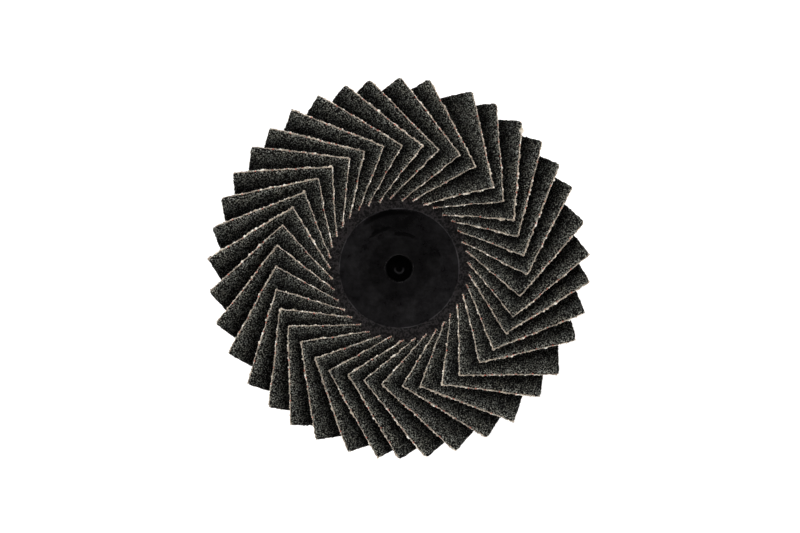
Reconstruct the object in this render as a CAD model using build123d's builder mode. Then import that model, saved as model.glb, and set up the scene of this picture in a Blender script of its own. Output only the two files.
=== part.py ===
from build123d import *
import os
from math import acos, atan2, cos, degrees, hypot, pi, radians, sin, sqrt

# A flap disc: a moulded backing plate with an integral quick-change stud, an adhesive bed, and a pinwheel
# of overlapping flaps of coated abrasive cloth. Millimetres. +Z points out of the grinding face. The origin
# is on the stud's axis, in the plane of the shoulder that seats against the holder.

# ---- Driving dimensions: flaps ----
disc_diameter = 76.2  # circle through the outer tips of the flaps
flap_count = 39
flap_length = 19.8  # along the free edge, from the raised corner to the outer tip
flap_width = 13.7  # from the free edge to the glued root
flap_thickness = 0.8  # cloth, resin and grit together
mean_lean = 34.2  # degrees from the radius at the outer tip to the free edge
inner_gap = 0.13  # clear space between neighbouring flaps at their inner ends, square to the cloth
outer_gap = 0.65  # the same at their outer ends, where they fan out

# Flaps are laid a little unevenly, all in degrees: slip is how far round the disc an outer tip lies from its
# even place, and twist is how much more its free edge leans than the mean.
slip = [
    1.25, 0.5, 0.0, 0.0, -1.0, 3.0, 2.75, 2.75, 1.0, 0.5, 0.25, -0.25, -1.75,
    -1.5, -2.25, -2.25, -2.0, -1.25, -0.75, -0.5, 1.25, 1.5, 0.75, 0.25, 1.25, 1.0,
    -1.5, -2.75, -3.0, -2.0, -2.0, -0.25, -0.75, 1.5, 1.0, 1.0, 0.0, 0.75, 2.5,
]
twist = [
    1.0, -0.5, 1.0, 0.0, 0.5, 2.5, 3.0, 1.0, 0.5, -0.5, -0.5, -1.5, -2.0,
    -1.5, -2.0, -1.5, -0.5, 0.5, 0.5, 0.0, 1.0, 2.0, 1.5, 0.0, 0.5, 1.0,
    -3.0, -3.5, -3.5, -3.0, -1.5, 1.0, 0.0, 1.0, 1.0, 1.0, 0.5, 0.5, 3.0,
]
first_tip_angle = 31.5  # degrees from +X to the even place of the first outer tip

# ---- Driving dimensions: adhesive bed ----
bed_thickness = 0.4
bed_inner_diameter = 30.4
bed_margin = 0.6  # from the bed's outer edge to the plate's
glue_line = 0.16  # clearance between a wedge of resin and the flap above it
root_clearance = 0.5  # from a wedge to the root of the flap beside it
wedge_toe = 0.7  # blunt start of a wedge, ahead of its root line

# ---- Driving dimensions: backing plate ----
plate_diameter = 65.0
plate_thickness = 2.2
rim_chamfer = 0.6  # on the plate's back edge
hub_thickness = 4.4  # from the seat shoulder to the land that carries the flaps
seat_diameter = 30.0
flare_diameter = 48.0  # where the flared back meets the flat back of the rim
recess_mouth_diameter = 23.9
recess_floor_diameter = 12.4
recess_depth = 2.2
core_hole_diameter = 5.3
core_hole_depth = 5.0
dimple_diameter = 2.0
dimple_depth = 0.3
core_hole_chamfer = 0.3
mouth_radius = 0.3  # softened mouth of the recess
floor_radius = 1.5  # moulded fillet between the recess floor and its cone
stud_diameter = 7.8  # at the root of its coarse quick-change thread
stud_length = 5.2
stud_chamfer = 0.6
ejector_mark_diameter = 3.0
ejector_mark_depth = 0.15
ejector_mark_count = 6

# ---- Facets of a flap: stations along it, and steps from its root to its free edge ----
flap_stations = 5
flap_steps = 4

# ---- Derived sizes ----
disc_radius = disc_diameter / 2
plate_radius = plate_diameter / 2
bed_inner_radius = bed_inner_diameter / 2
bed_outer_radius = plate_radius - bed_margin
spacing = 2 * pi / flap_count
land_level = hub_thickness
bed_level = land_level + bed_thickness
back_level = land_level - plate_thickness
recess_level = land_level - recess_depth


# A flap's own frame has its origin on the axis, +X square to its root line and +Y along it, outwards.
free_edge_offset = disc_radius * sin(radians(mean_lean))
root_offset = free_edge_offset - flap_width
root_end = disc_radius * cos(radians(mean_lean))
root_start = root_end - flap_length
root_inner_radius = hypot(root_offset, root_start)
mean_tip_angle = 90 - mean_lean
first_turn = first_tip_angle - mean_tip_angle


def rise_for(gap, distance):
    """Climb from one flap to the next, at a distance along the root line, that leaves a gap between them."""
    layer = flap_thickness + gap
    return layer / sqrt(1 - (layer / (spacing * distance)) ** 2)


inner_rise = rise_for(inner_gap, root_start)
outer_rise = rise_for(outer_gap, root_end)


def climb(x, y):
    """Height of a flap's underside over the bed: one rise for each flap spacing ahead of its root line."""
    radius = hypot(x, y)
    outwards = (radius - root_inner_radius) / (disc_radius - root_inner_radius)
    rise = inner_rise + (outer_rise - inner_rise) * outwards
    return rise * (acos(root_offset / radius) - atan2(y, x)) / spacing


def on_line(offset, radius, turn):
    """Point at a radius on the line that lies an offset from the axis, in a frame turned by an angle."""
    angle = acos(offset / radius) + turn
    return radius * cos(angle), radius * sin(angle)


def section(root, free):
    """Underside of a flap from its root to its free edge, as (distance, height) points."""
    points = []
    for step in range(flap_steps + 1):
        point = root + (free - root) * step / flap_steps
        points.append(((point - root).length, climb(point.X, point.Y)))
    return points


def raised(points, thickness):
    """The same curve moved square to itself by the cloth's thickness."""
    moved = []
    for here, (u, z) in enumerate(points):
        before = points[max(here - 1, 0)]
        after = points[min(here + 1, len(points) - 1)]
        slope = atan2(after[1] - before[1], after[0] - before[0])
        moved.append((u - thickness * sin(slope), z + thickness * cos(slope)))
    return moved


def place(root, free, point):
    """A (distance, height) point of a section, stood over the line from its root to its free edge."""
    return root + (free - root).normalized() * point[0] + Vector(0, 0, point[1])


def closed_sheet(lower, upper):
    """Solid between two grids of points, with two flat facets in each cell and along each border."""
    rows = len(lower)
    columns = len(lower[0])
    border = [(row, 0) for row in range(rows)]
    border += [(rows - 1, column) for column in range(1, columns)]
    border += [(row, columns - 1) for row in reversed(range(rows - 1))]
    border += [(0, column) for column in reversed(range(1, columns - 1))]
    quads = []
    for row in range(rows - 1):
        for column in range(columns - 1):
            for grid in (lower, upper):
                near = grid[row][column], grid[row][column + 1]
                far = grid[row + 1][column + 1], grid[row + 1][column]
                quads.append((*near, *far))
    for (row, column), (next_row, next_column) in zip(border, border[1:] + border[:1]):
        foot = lower[row][column], lower[next_row][next_column]
        head = upper[next_row][next_column], upper[row][column]
        quads.append((*foot, *head))
    facets = []
    for a, b, c, d in quads:
        facets.append(Face(Wire.make_polygon([a, b, c])))
        facets.append(Face(Wire.make_polygon([a, c, d])))
    return Solid(Shell(facets))


# ---- Backing plate: one turned profile, each corner with its fillet radius ----
plate_corners = [
    ((dimple_diameter / 2, recess_level - core_hole_depth - dimple_depth), 0),
    ((dimple_diameter / 2, recess_level - core_hole_depth), 0),
    ((core_hole_diameter / 2, recess_level - core_hole_depth), 0),
    ((core_hole_diameter / 2, recess_level - core_hole_chamfer), 0),
    ((core_hole_diameter / 2 + core_hole_chamfer, recess_level), 0),
    ((recess_floor_diameter / 2, recess_level), floor_radius),
    ((recess_mouth_diameter / 2, land_level), mouth_radius),
    ((plate_radius, land_level), 0),
    ((plate_radius, back_level + rim_chamfer), 0),
    ((plate_radius - rim_chamfer, back_level), 0),
    ((flare_diameter / 2, back_level), 0),
    ((seat_diameter / 2, 0), 0),
    ((stud_diameter / 2, 0), 0),
    ((stud_diameter / 2, -stud_length + stud_chamfer), 0),
    ((stud_diameter / 2 - stud_chamfer, -stud_length), 0),
]
plate_top = (0, recess_level - core_hole_depth - dimple_depth)
plate_bottom = (0, -stud_length)

with BuildPart() as backing_plate:
    with BuildSketch(Plane.XZ):
        with BuildLine():
            corners = [corner for corner, _ in plate_corners]
            FilletPolyline(plate_top, *corners, plate_bottom, radius=[radius for _, radius in plate_corners])
            Line(plate_bottom, plate_top)
        make_face()
    revolve(axis=Axis.Z)
    # Marks of the moulding tool's ejector pins, in the flat back of the rim.
    with BuildSketch(Plane.XY.offset(back_level)):
        with PolarLocations((flare_diameter / 2 + plate_radius) / 2, ejector_mark_count):
            Circle(ejector_mark_diameter / 2)
    extrude(amount=ejector_mark_depth, mode=Mode.SUBTRACT)

# ---- Adhesive bed: a ring with a wedge of resin under the rising root of every flap ----
wedge_floor = []
wedge_roof = []
for radius in (bed_inner_radius, bed_outer_radius):
    toe = on_line(root_offset + wedge_toe, radius, 0)
    heel = on_line(root_offset - root_clearance, radius, -spacing)
    wedge_floor.append([Vector(*point, -bed_thickness) for point in (toe, heel)])
    wedge_roof.append([Vector(*point, climb(*point) - glue_line) for point in (toe, heel)])
wedge = closed_sheet(wedge_floor, wedge_roof).move(Location((0, 0, bed_level)))

with BuildPart() as adhesive_bed:
    with BuildSketch(Plane.XY.offset(land_level)):
        Circle(bed_outer_radius)
        Circle(bed_inner_radius, mode=Mode.SUBTRACT)
    extrude(amount=bed_thickness)
    with PolarLocations(0, flap_count, start_angle=first_turn):
        add(wedge)

# ---- Flaps ----
flaps = []
for number in range(flap_count):
    tip_angle = mean_tip_angle + slip[number % len(slip)]
    lean = mean_lean + twist[number % len(twist)]
    tip = Vector(disc_radius, 0).rotate(Axis.Z, tip_angle)
    edge = Vector(1, 0).rotate(Axis.Z, tip_angle + lean)
    across = edge.rotate(Axis.Z, 90)
    cloth = []
    grit = []
    for station in range(flap_stations):
        free = tip - edge * flap_length * (1 - station / (flap_stations - 1))
        root = free + across * (root_offset - free.X) / across.X
        curve = section(root, free)
        cloth.append([place(root, free, point) for point in curve])
        grit.append([place(root, free, point) for point in raised(curve, flap_thickness)])
    turn = first_turn + number * degrees(spacing)
    with BuildPart() as flap:
        with Locations(Location((0, 0, bed_level), (0, 0, turn))):
            add(closed_sheet(cloth, grit))
    flap.part.label = f"flap_{number + 1:02d}"
    flaps.append(flap.part)

# ---- Write one file for each piece ----
backing_plate.part.label = "backing_plate"
adhesive_bed.part.label = "adhesive_bed"
os.makedirs("parts", exist_ok=True)
for piece in [backing_plate.part, adhesive_bed.part, *flaps]:
    export_step(piece, f"parts/{piece.label}.step")
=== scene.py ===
# %% [markdown]
# # Dressing a flap disc
# A flap disc is a ring of overlapping flaps of coated abrasive cloth, glued on a moulded backing plate. Its
# construction comes in as a fixed frame of solids, one for each physical piece. This script gives every piece
# the surface of the real one: grains of grit, frayed cotton edges, moulded plastic and set resin. It doesn't
# move or resize anything.

# %% Load the frame
import math

import bmesh
import bpy
from mathutils import Matrix, Vector


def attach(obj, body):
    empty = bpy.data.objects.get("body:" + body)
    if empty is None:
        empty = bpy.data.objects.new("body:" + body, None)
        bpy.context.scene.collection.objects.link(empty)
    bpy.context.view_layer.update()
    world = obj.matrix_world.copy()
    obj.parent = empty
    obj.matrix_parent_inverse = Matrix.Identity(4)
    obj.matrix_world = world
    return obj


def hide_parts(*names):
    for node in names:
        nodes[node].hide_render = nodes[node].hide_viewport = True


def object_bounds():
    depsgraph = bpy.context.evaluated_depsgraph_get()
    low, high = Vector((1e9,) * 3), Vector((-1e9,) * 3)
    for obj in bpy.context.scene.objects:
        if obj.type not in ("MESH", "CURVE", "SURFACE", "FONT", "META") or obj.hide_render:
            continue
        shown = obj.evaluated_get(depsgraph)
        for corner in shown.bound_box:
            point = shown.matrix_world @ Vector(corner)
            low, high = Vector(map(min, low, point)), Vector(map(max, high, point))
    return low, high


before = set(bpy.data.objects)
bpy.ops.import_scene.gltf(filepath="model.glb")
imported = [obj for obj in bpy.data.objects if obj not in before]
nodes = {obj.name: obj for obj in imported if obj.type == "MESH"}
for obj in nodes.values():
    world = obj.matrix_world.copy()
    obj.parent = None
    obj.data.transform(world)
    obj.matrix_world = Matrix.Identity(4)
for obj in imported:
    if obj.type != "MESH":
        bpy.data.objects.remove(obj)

MM = 0.001  # one millimetre, in metres
cad_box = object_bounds()
size = cad_box[1] - cad_box[0]
print("frame:", len(nodes), "nodes,", [round(s / MM, 1) for s in size], "mm")

# %% [markdown]
# ## One helper for every node
# Geometry trees and materials are both built from nodes, and each node needs the same three things: its
# settings, its plain values and its links. One small function does all three and returns an output socket, so
# that nested calls read like a formula. Colours are written as sRGB hex, as a paint chart gives them, and one
# function turns them into the linear values that Blender works in.


# %% The helpers
def linear(colour):
    """Linear RGBA of an sRGB hex colour."""
    parts = [int(colour[start:start + 2], 16) / 255 for start in (1, 3, 5)]
    return (*[p / 12.92 if p <= 0.04045 else ((p + 0.055) / 1.055) ** 2.4 for p in parts], 1.0)


def add(tree, kind, inputs=(), out=0, stops=(), **settings):
    """Adds a node, makes its settings, fills or links its inputs, and returns one of its outputs."""
    node = tree.nodes.new(kind)
    node.location = (190 * len(tree.nodes), 0)
    for name, value in settings.items():
        setattr(node, name, value)
    for key, value in dict(inputs).items():
        if isinstance(value, bpy.types.NodeSocket):
            tree.links.new(value, node.inputs[key])
        else:
            node.inputs[key].default_value = value
    for index, (place, colour) in enumerate(stops):
        band = node.color_ramp.elements
        stop = band[index] if index < 2 else band.new(place)
        stop.position, stop.color = place, linear(colour)
    return node.outputs[out] if node.outputs else node


def new_material(name):
    """An empty material and its tree."""
    material = bpy.data.materials.new(name)
    material.use_nodes = True
    material.node_tree.nodes.clear()
    return material, material.node_tree


def piece_from(mesh, name):
    """A new object at the origin, with its place in its mesh."""
    piece = bpy.data.objects.new(name, mesh)
    bpy.context.scene.collection.objects.link(piece)
    return piece


print("helpers ready")

# %% [markdown]
# ## Camera
# The disc is looked at from straight above, on its grinding face, with the camera a hair off its axis. A long
# lens keeps the raised flaps from leaning outwards, as they would with a wide one. The distance follows from
# the lens and the width that the frame has to show at the height of the flaps' outer tips.

# %% Set the camera
FRAME_WIDTH = 158.05 * MM  # what is seen from side to side
TARGET = Vector((0.16, 0.19, 11.4)) * MM  # near the axis, at the height of the outer tips
CAMERA_TILT = math.radians(1.1)  # towards the viewer
camera_data = bpy.data.cameras.new("camera")
camera_data.lens = 100.0
camera_data.sensor_width = 36.0
camera_distance = FRAME_WIDTH * camera_data.lens / camera_data.sensor_width
camera = bpy.data.objects.new("camera", camera_data)
camera.location = TARGET + camera_distance * Vector((0, -math.sin(CAMERA_TILT), math.cos(CAMERA_TILT)))
camera.rotation_euler = (CAMERA_TILT, 0, 0)
bpy.context.scene.collection.objects.link(camera)
bpy.context.scene.camera = camera
print("camera", round(camera_distance / MM), "mm above the flaps")

# %% [markdown]
# ## Floor and light
# The disc stands on the end of its stud, on a plain white floor. Black surfaces show whatever they mirror, so
# the room has white walls, which light the disc softly from its sides, under a dim ceiling, which leaves the
# black plastic black. Four low softboxes rake across the flaps, so that each one climbs out of the shadow of
# the next, and a small lamp near the camera fills the recess. The lamp isn't mirrored, because a black
# moulding would show it as a bright dot. The floor shows some white of its own, so that it stays white beside
# the disc and still keeps a soft shadow under it.

# %% Floor and room
FLOOR_REACH = 3.0  # metres from the disc to the floor's edges
FLOOR_LIGHT = 0.55  # of its own, seen by the camera and in mirrorings only
floor_level = cad_box[0].z
floor_mesh = bpy.data.meshes.new("floor")
corners = [(-1, -1), (1, -1), (1, 1), (-1, 1)]
floor_points = [(x * FLOOR_REACH, y * FLOOR_REACH, floor_level) for x, y in corners]
floor_mesh.from_pydata(floor_points, [], [(0, 1, 2, 3)])
floor = piece_from(floor_mesh, "floor")

# Matt white laminate: smooth, with hardly any gloss.
floor_material, tree = new_material("matt_white_laminate")
rays = add(tree, "ShaderNodeLightPath").node.outputs
shown = add(tree, "ShaderNodeMath", {0: rays["Is Camera Ray"], 1: rays["Is Glossy Ray"]},
            operation="MAXIMUM")
shown = add(tree, "ShaderNodeMath", {0: shown, 1: rays["Is Transmission Ray"]}, operation="MAXIMUM")
own_light = add(tree, "ShaderNodeMath", {0: shown, 1: FLOOR_LIGHT}, operation="MULTIPLY")
laminate = add(tree, "ShaderNodeBsdfPrincipled", {
    "Base Color": linear("#ececec"), "Roughness": 0.8, "Emission Color": linear("#ffffff"),
    "Emission Strength": own_light})
add(tree, "ShaderNodeOutputMaterial", {"Surface": laminate})
floor_mesh.materials.append(floor_material)

# The room: white up to the top of its walls, then fading into the ceiling.
WALL_LIGHT, CEILING_LIGHT = 1.0, 0.02
WALL_TOP, CEILING_EDGE = math.radians(12), math.radians(32)  # above the horizon
room = bpy.data.worlds.new("pale_room")
room.use_nodes = True
tree = room.node_tree
tree.nodes.clear()
upward = add(tree, "ShaderNodeSeparateXYZ", {0: add(tree, "ShaderNodeTexCoord", out="Generated")},
             out="Z")
strength = add(tree, "ShaderNodeMapRange", {
    "Value": upward, "From Min": math.sin(WALL_TOP), "From Max": math.sin(CEILING_EDGE),
    "To Min": WALL_LIGHT, "To Max": CEILING_LIGHT}, interpolation_type="SMOOTHSTEP")
add(tree, "ShaderNodeOutputWorld", {"Surface": add(tree, "ShaderNodeBackground", {
    "Color": linear("#ffffff"), "Strength": strength})})
bpy.context.scene.world = room
print("floor at", round(floor_level / MM, 2), "mm")

# %% Softboxes
BOX_LEVEL = 0.32  # metres above the disc
LONG_BOX, SMALL_LAMP = (1.1, 0.3), (0.15, 0.15)  # width and height, metres


def softbox(name, place, measures, power, mirrored=True):
    """An area lamp of a given size and power in watts, turned towards the disc."""
    data = bpy.data.lights.new(name, "AREA")
    data.shape = "RECTANGLE"
    data.size, data.size_y = measures
    data.energy = power
    lamp = bpy.data.objects.new(name, data)
    lamp.location = place
    lamp.visible_camera = False
    lamp.visible_glossy = mirrored
    lamp.rotation_euler = (-Vector(place)).to_track_quat("-Z", "Y").to_euler()
    bpy.context.scene.collection.objects.link(lamp)


softbox("softbox_top", (-0.15, 0.95, BOX_LEVEL), LONG_BOX, 8.3)
softbox("softbox_left", (-0.92, 0.25, BOX_LEVEL), LONG_BOX, 8.3)
softbox("softbox_right", (0.88, -0.36, BOX_LEVEL), LONG_BOX, 10.5)
softbox("softbox_bottom", (0.0, -0.95, BOX_LEVEL), LONG_BOX, 4.0)
softbox("lamp_near_camera", (0.05, 0.3, 1.0), SMALL_LAMP, 0.2, mirrored=False)
bpy.context.scene.view_settings.view_transform = "Standard"
lamps = [lamp.name for lamp in bpy.data.objects if lamp.type == "LIGHT"]
print("lamps:", ", ".join(lamps))

# %% [markdown]
# ## Coated abrasive cloth
# A flap is cotton cloth, filled with resin on its back and coated on its front with crushed silicon carbide
# held in more resin. Each grain is a splinter of crystal under a skin of resin: dark grey, with facets that
# glint one by one. The eye reads the whole as a dark, sparkling sandpaper. The grains themselves are
# modelled, so their material only has to tint them one by one. It also paints light and shade into them:
# painted light makes them paler towards the free edge, and painted shade darker in the corner under the next
# flap.

# %% Silicon carbide, resin-skinned
GRAIN = 0.36 * MM  # mean width of a grain of 46 grit
PIT = GRAIN / 4  # width of the pits in a grain's skin of resin
DUSTY_PATCH = 3.0 * MM  # length over which the dust makes the grit warmer or cooler

coat_material, tree = new_material("silicon_carbide_grains")
place = add(tree, "ShaderNodeTexCoord", out="Object")
grain_tint = add(tree, "ShaderNodeAttribute", out="Fac", attribute_name="grain_tint")
fleck = add(tree, "ShaderNodeTexNoise", {"Vector": place, "Scale": 1 / GRAIN, "Detail": 3.0}, out="Fac")
dusty = add(tree, "ShaderNodeTexNoise", {"Vector": place, "Scale": 1 / DUSTY_PATCH, "Detail": 2.0}, out="Fac")
mixed = add(tree, "ShaderNodeMath", {0: fleck, 1: 0.5, 2: grain_tint}, operation="MULTIPLY_ADD")
shade = add(tree, "ShaderNodeMapRange", {"Value": mixed, "From Min": -0.1, "From Max": 1.6}, clamp=False)
shown_share = add(tree, "ShaderNodeAttribute", out="Fac", attribute_name="shown_share")
# Painted light towards the free edge and painted shade in the corner under the next flap, by the share of the
# shown strip.
painted_grit_light_and_shade = add(tree, "ShaderNodeMapRange", {"Value": shown_share, "To Min": 0.4, "To Max": -0.75})
shade = add(tree, "ShaderNodeMath", {0: shade, 1: painted_grit_light_and_shade}, operation="ADD")
grit_colour = add(tree, "ShaderNodeValToRGB", {"Fac": shade}, stops=[
    (0.0, "#0c0c0b"), (1.0, "#92918a"), (0.3, "#3a3b37"), (0.6, "#575752"), (0.85, "#73736c")])
cast = add(tree, "ShaderNodeValToRGB", {"Fac": dusty}, stops=[(0.3, "#fdfbf3"), (0.7, "#f0f4f6")])
grit_colour = add(tree, "ShaderNodeMix", {"Factor": 1.0, 6: grit_colour, 7: cast},
                  out=2, data_type="RGBA", blend_type="MULTIPLY")
gloss = add(tree, "ShaderNodeMapRange", {"Value": fleck, "To Min": 0.34, "To Max": 0.62})
pits = add(tree, "ShaderNodeTexNoise", {"Vector": place, "Scale": 1 / PIT, "Detail": 4.0}, out="Fac")
relief = add(tree, "ShaderNodeBump", {"Height": pits, "Strength": 0.5, "Distance": PIT}, out="Normal")
grit = add(tree, "ShaderNodeBsdfPrincipled", {
    "Base Color": grit_colour, "Roughness": gloss, "IOR": 1.6, "Specular IOR Level": 0.15,
    "Normal": relief})
add(tree, "ShaderNodeOutputMaterial", {"Surface": grit})
print("made", coat_material.name)

# %% [markdown]
# The ground between the grains is the resin that they are sized with. It is nearly black and lies in the
# grains' shade, so it gets hardly any gloss: a shine there would turn the gaps grey. Painted light makes it
# paler near the free edge, and painted shade turns it black beside the next flap's step.
# Where the coat has broken away along a cut edge, bare cotton lint shows instead. An
# attribute of the mesh tells how far a point is from that break.

# %% Phenolic size coat
YARN = 0.42 * MM  # spacing of the yarns in the cotton drill
LINT_CLUMP, LINT_FIBRE = 0.6 * MM, 0.175 * MM  # fibres are drawn as coarse as they need to be to show

ground_material, tree = new_material("phenolic_size_coat")
place = add(tree, "ShaderNodeTexCoord", out="Object")
crumb = add(tree, "ShaderNodeTexNoise", {"Vector": place, "Scale": 1 / GRAIN, "Detail": 3.0}, out="Fac")
ground_colour = add(tree, "ShaderNodeValToRGB", {"Fac": crumb}, stops=[(0.35, "#040404"), (0.7, "#131211")])
shown_share = add(tree, "ShaderNodeAttribute", out="Fac", attribute_name="shown_share")
# Painted light near the free edge, fading to black painted shade beside the next flap's step.
painted_ground_light_and_shade = add(tree, "ShaderNodeMapRange", {"Value": shown_share, "To Min": 2.2, "To Max": 0.0})
ground_colour = add(tree, "ShaderNodeVectorMath", {0: ground_colour, "Scale": painted_ground_light_and_shade}, operation="SCALE")
edge_gap = add(tree, "ShaderNodeAttribute", out="Fac", attribute_name="edge_gap")
frayed = add(tree, "ShaderNodeTexNoise", {"Vector": place, "Scale": 1 / LINT_CLUMP, "Detail": 2.0}, out="Fac")
bare = add(tree, "ShaderNodeMath", {0: frayed, 1: 0.5, 2: edge_gap}, operation="MULTIPLY_ADD")
bare = add(tree, "ShaderNodeMapRange", {"Value": bare, "From Min": 0.28, "From Max": 0.22})
lint = add(tree, "ShaderNodeTexNoise", {"Vector": place, "Scale": 1 / LINT_FIBRE, "Detail": 2.0}, out="Fac")
lint_colour = add(tree, "ShaderNodeValToRGB", {"Fac": lint}, stops=[
    (0.35, "#4a3a2e"), (0.62, "#c9bfae"), (0.46, "#857868")])
colour = add(tree, "ShaderNodeMix", {"Factor": bare, 6: ground_colour, 7: lint_colour},
             out=2, data_type="RGBA")
relief = add(tree, "ShaderNodeBump", {"Height": crumb, "Strength": 0.6, "Distance": 0.3 * GRAIN},
             out="Normal")
ground = add(tree, "ShaderNodeBsdfPrincipled", {
    "Base Color": colour, "Roughness": 0.8, "IOR": 1.6, "Specular IOR Level": 0.04, "Normal": relief})
add(tree, "ShaderNodeOutputMaterial", {"Surface": ground})
print("made", ground_material.name)

# %% [markdown]
# ## Cut cotton yarn
# Punching the flaps out of a roll leaves the ends of the yarns standing in the cut. They are undyed cotton,
# cream to off-white, and here and there stained rust red by the resin that binds the grit. Cotton is matt,
# with a soft sheen from its loose fibres.

# %% Undyed cotton, cut
GRUBBY_PATCH = 1.4 * MM  # length over which the yarns are cleaner or grubbier
FIBRE = YARN / 9  # width of the fibres that show in a cut yarn
STAINED_FROM = 0.95  # yarns with a tint above this are stained red

yarn_material, tree = new_material("cut_cotton_yarn")
place = add(tree, "ShaderNodeTexCoord", out="Object")
yarn_tint = add(tree, "ShaderNodeAttribute", out="Fac", attribute_name="yarn_tint")
clean = add(tree, "ShaderNodeTexNoise", {
    "Vector": place, "Scale": 1 / GRUBBY_PATCH, "Detail": 3.0}, out="Fac")
clean = add(tree, "ShaderNodeMapRange", {"Value": clean, "From Min": 0.34, "From Max": 0.66, "To Max": 0.5})
mixed = add(tree, "ShaderNodeMath", {0: yarn_tint, 1: 0.65, 2: clean}, operation="MULTIPLY_ADD")
cotton = add(tree, "ShaderNodeValToRGB", {"Fac": mixed}, stops=[
    (0.0, "#54493f"), (1.0, "#fffbf3"), (0.3, "#978a7b"), (0.55, "#c6b8a5"), (0.8, "#f3ebde")])
stained = add(tree, "ShaderNodeMapRange", {
    "Value": yarn_tint, "From Min": STAINED_FROM - 0.01, "From Max": STAINED_FROM + 0.01})
cotton = add(tree, "ShaderNodeMix", {"Factor": stained, 6: cotton, 7: linear("#b5482b")}, out=2,
             data_type="RGBA")
fibre = add(tree, "ShaderNodeTexNoise", {"Vector": place, "Scale": 1 / FIBRE, "Detail": 2.0}, out="Fac")
relief = add(tree, "ShaderNodeBump", {"Height": fibre, "Strength": 0.6, "Distance": 0.1 * YARN},
             out="Normal")
yarn = add(tree, "ShaderNodeBsdfPrincipled", {
    "Base Color": cotton, "Roughness": 0.85, "IOR": 1.5, "Sheen Weight": 0.3, "Normal": relief})
add(tree, "ShaderNodeOutputMaterial", {"Surface": yarn})
print("made", yarn_material.name)

# %% [markdown]
# ## The back of the cloth
# The back of a flap is the same cotton drill, filled with phenolic resin that has cured brown. The twill
# lines run slantwise across it and can be seen and felt through the filling. The pattern follows the cloth
# and not the disc, so it reads the distances along and across the flap, in millimetres, that the mesh keeps.
# A wave of slanting bands repeats when their sum has grown by two pi tenths over its scale, and here that is
# two yarns.

# %% Resin-filled cotton drill
TWILL_SCALE = math.tau / 10 / (2 * YARN / MM)
FILLING_CLOUD = 2.85  # mm, length over which the filling is thicker or thinner

back_material, tree = new_material("resin_filled_cotton_drill")
along = add(tree, "ShaderNodeAttribute", out="Fac", attribute_name="along_mm")
across = add(tree, "ShaderNodeAttribute", out="Fac", attribute_name="across_mm")
place = add(tree, "ShaderNodeCombineXYZ", {"X": along, "Y": across})
twill = add(tree, "ShaderNodeTexWave", {
    "Vector": place, "Scale": TWILL_SCALE, "Distortion": 0.6, "Detail": 1.0},
    out="Fac", wave_type="BANDS", bands_direction="DIAGONAL")
filling = add(tree, "ShaderNodeTexNoise", {
    "Vector": place, "Scale": 1 / FILLING_CLOUD, "Detail": 4.0}, out="Fac")
mixed = add(tree, "ShaderNodeMath", {0: twill, 1: 0.35, 2: filling}, operation="MULTIPLY_ADD")
back_colour = add(tree, "ShaderNodeValToRGB", {"Fac": mixed}, stops=[
    (0.3, "#5d4126"), (0.95, "#a98a5f"), (0.6, "#86683f")])
relief = add(tree, "ShaderNodeBump", {"Height": twill, "Strength": 0.5, "Distance": 0.12 * MM}, out="Normal")
drill = add(tree, "ShaderNodeBsdfPrincipled", {
    "Base Color": back_colour, "Roughness": 0.62, "IOR": 1.55, "Normal": relief})
add(tree, "ShaderNodeOutputMaterial", {"Surface": drill})
print("made", back_material.name)

# %% [markdown]
# ## Reading the flaps from the frame
# Every flap of the frame is a curved sheet that starts flat on the bed at its glued root and climbs over the
# flaps beneath it. Its four corners say all that is needed: the two ends of the root line, the raised corner
# near the hub and the outer tip. The height at the two raised corners gives the climb for each flap spacing,
# near the hub and at the rim.

# %% Measure a flap
ON_BED = 0.01 * MM  # points no further than this above the bed are on the root line


def plan_radius(point):
    """Distance from the disc's axis."""
    return math.hypot(point.x, point.y)


def measure(node):
    """Corners of a flap in its own frame, whose +Y runs along the root line, and the climb at two of them."""
    points = [v.co for v in node.data.vertices]
    bed = min(p.z for p in points)
    root = [p for p in points if p.z < bed + ON_BED]
    root_inner = min(root, key=plan_radius)
    root_outer = max(root, key=plan_radius)
    tip = max(points, key=plan_radius)
    raised = max(points, key=lambda p: (p.xy - root_outer.xy).length)
    run = root_outer - root_inner
    turn = math.atan2(run.y, run.x) - math.pi / 2
    own = {}
    for name, point in zip(("Root Inner", "Root Outer", "Tip", "Raised Corner"),
                           (root_inner, root_outer, tip, raised)):
        flat = Matrix.Rotation(-turn, 3, "Z") @ point
        own[name] = Vector((flat.x, flat.y, 0))
    return own, turn, bed, raised.z - bed, tip.z - bed


flap_names = sorted(name for name in nodes if name.startswith("flap_"))
spacing = 2 * math.pi / len(flap_names)
own, turn, bed, rise_in, rise_out = measure(nodes[flap_names[0]])
print(len(flap_names), "flaps;", flap_names[0], "rises", round(rise_in / MM, 2), "and",
      round(rise_out / MM, 2), "mm; corners", {n: [round(c / MM, 2) for c in p.xy] for n, p in own.items()})

# %% [markdown]
# ## A flap as a rule
# All the flaps follow one rule, so they are made by one Geometry Nodes tree with named inputs. The tree lays
# a grid between the four corners, wanders its edges a little as a punched edge does, and lifts each point by
# the same climb that the solids have. The lift is one rise for every flap spacing that a point lies ahead of
# the root line, and the rise grows towards the rim, because the flaps fan out there.

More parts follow.
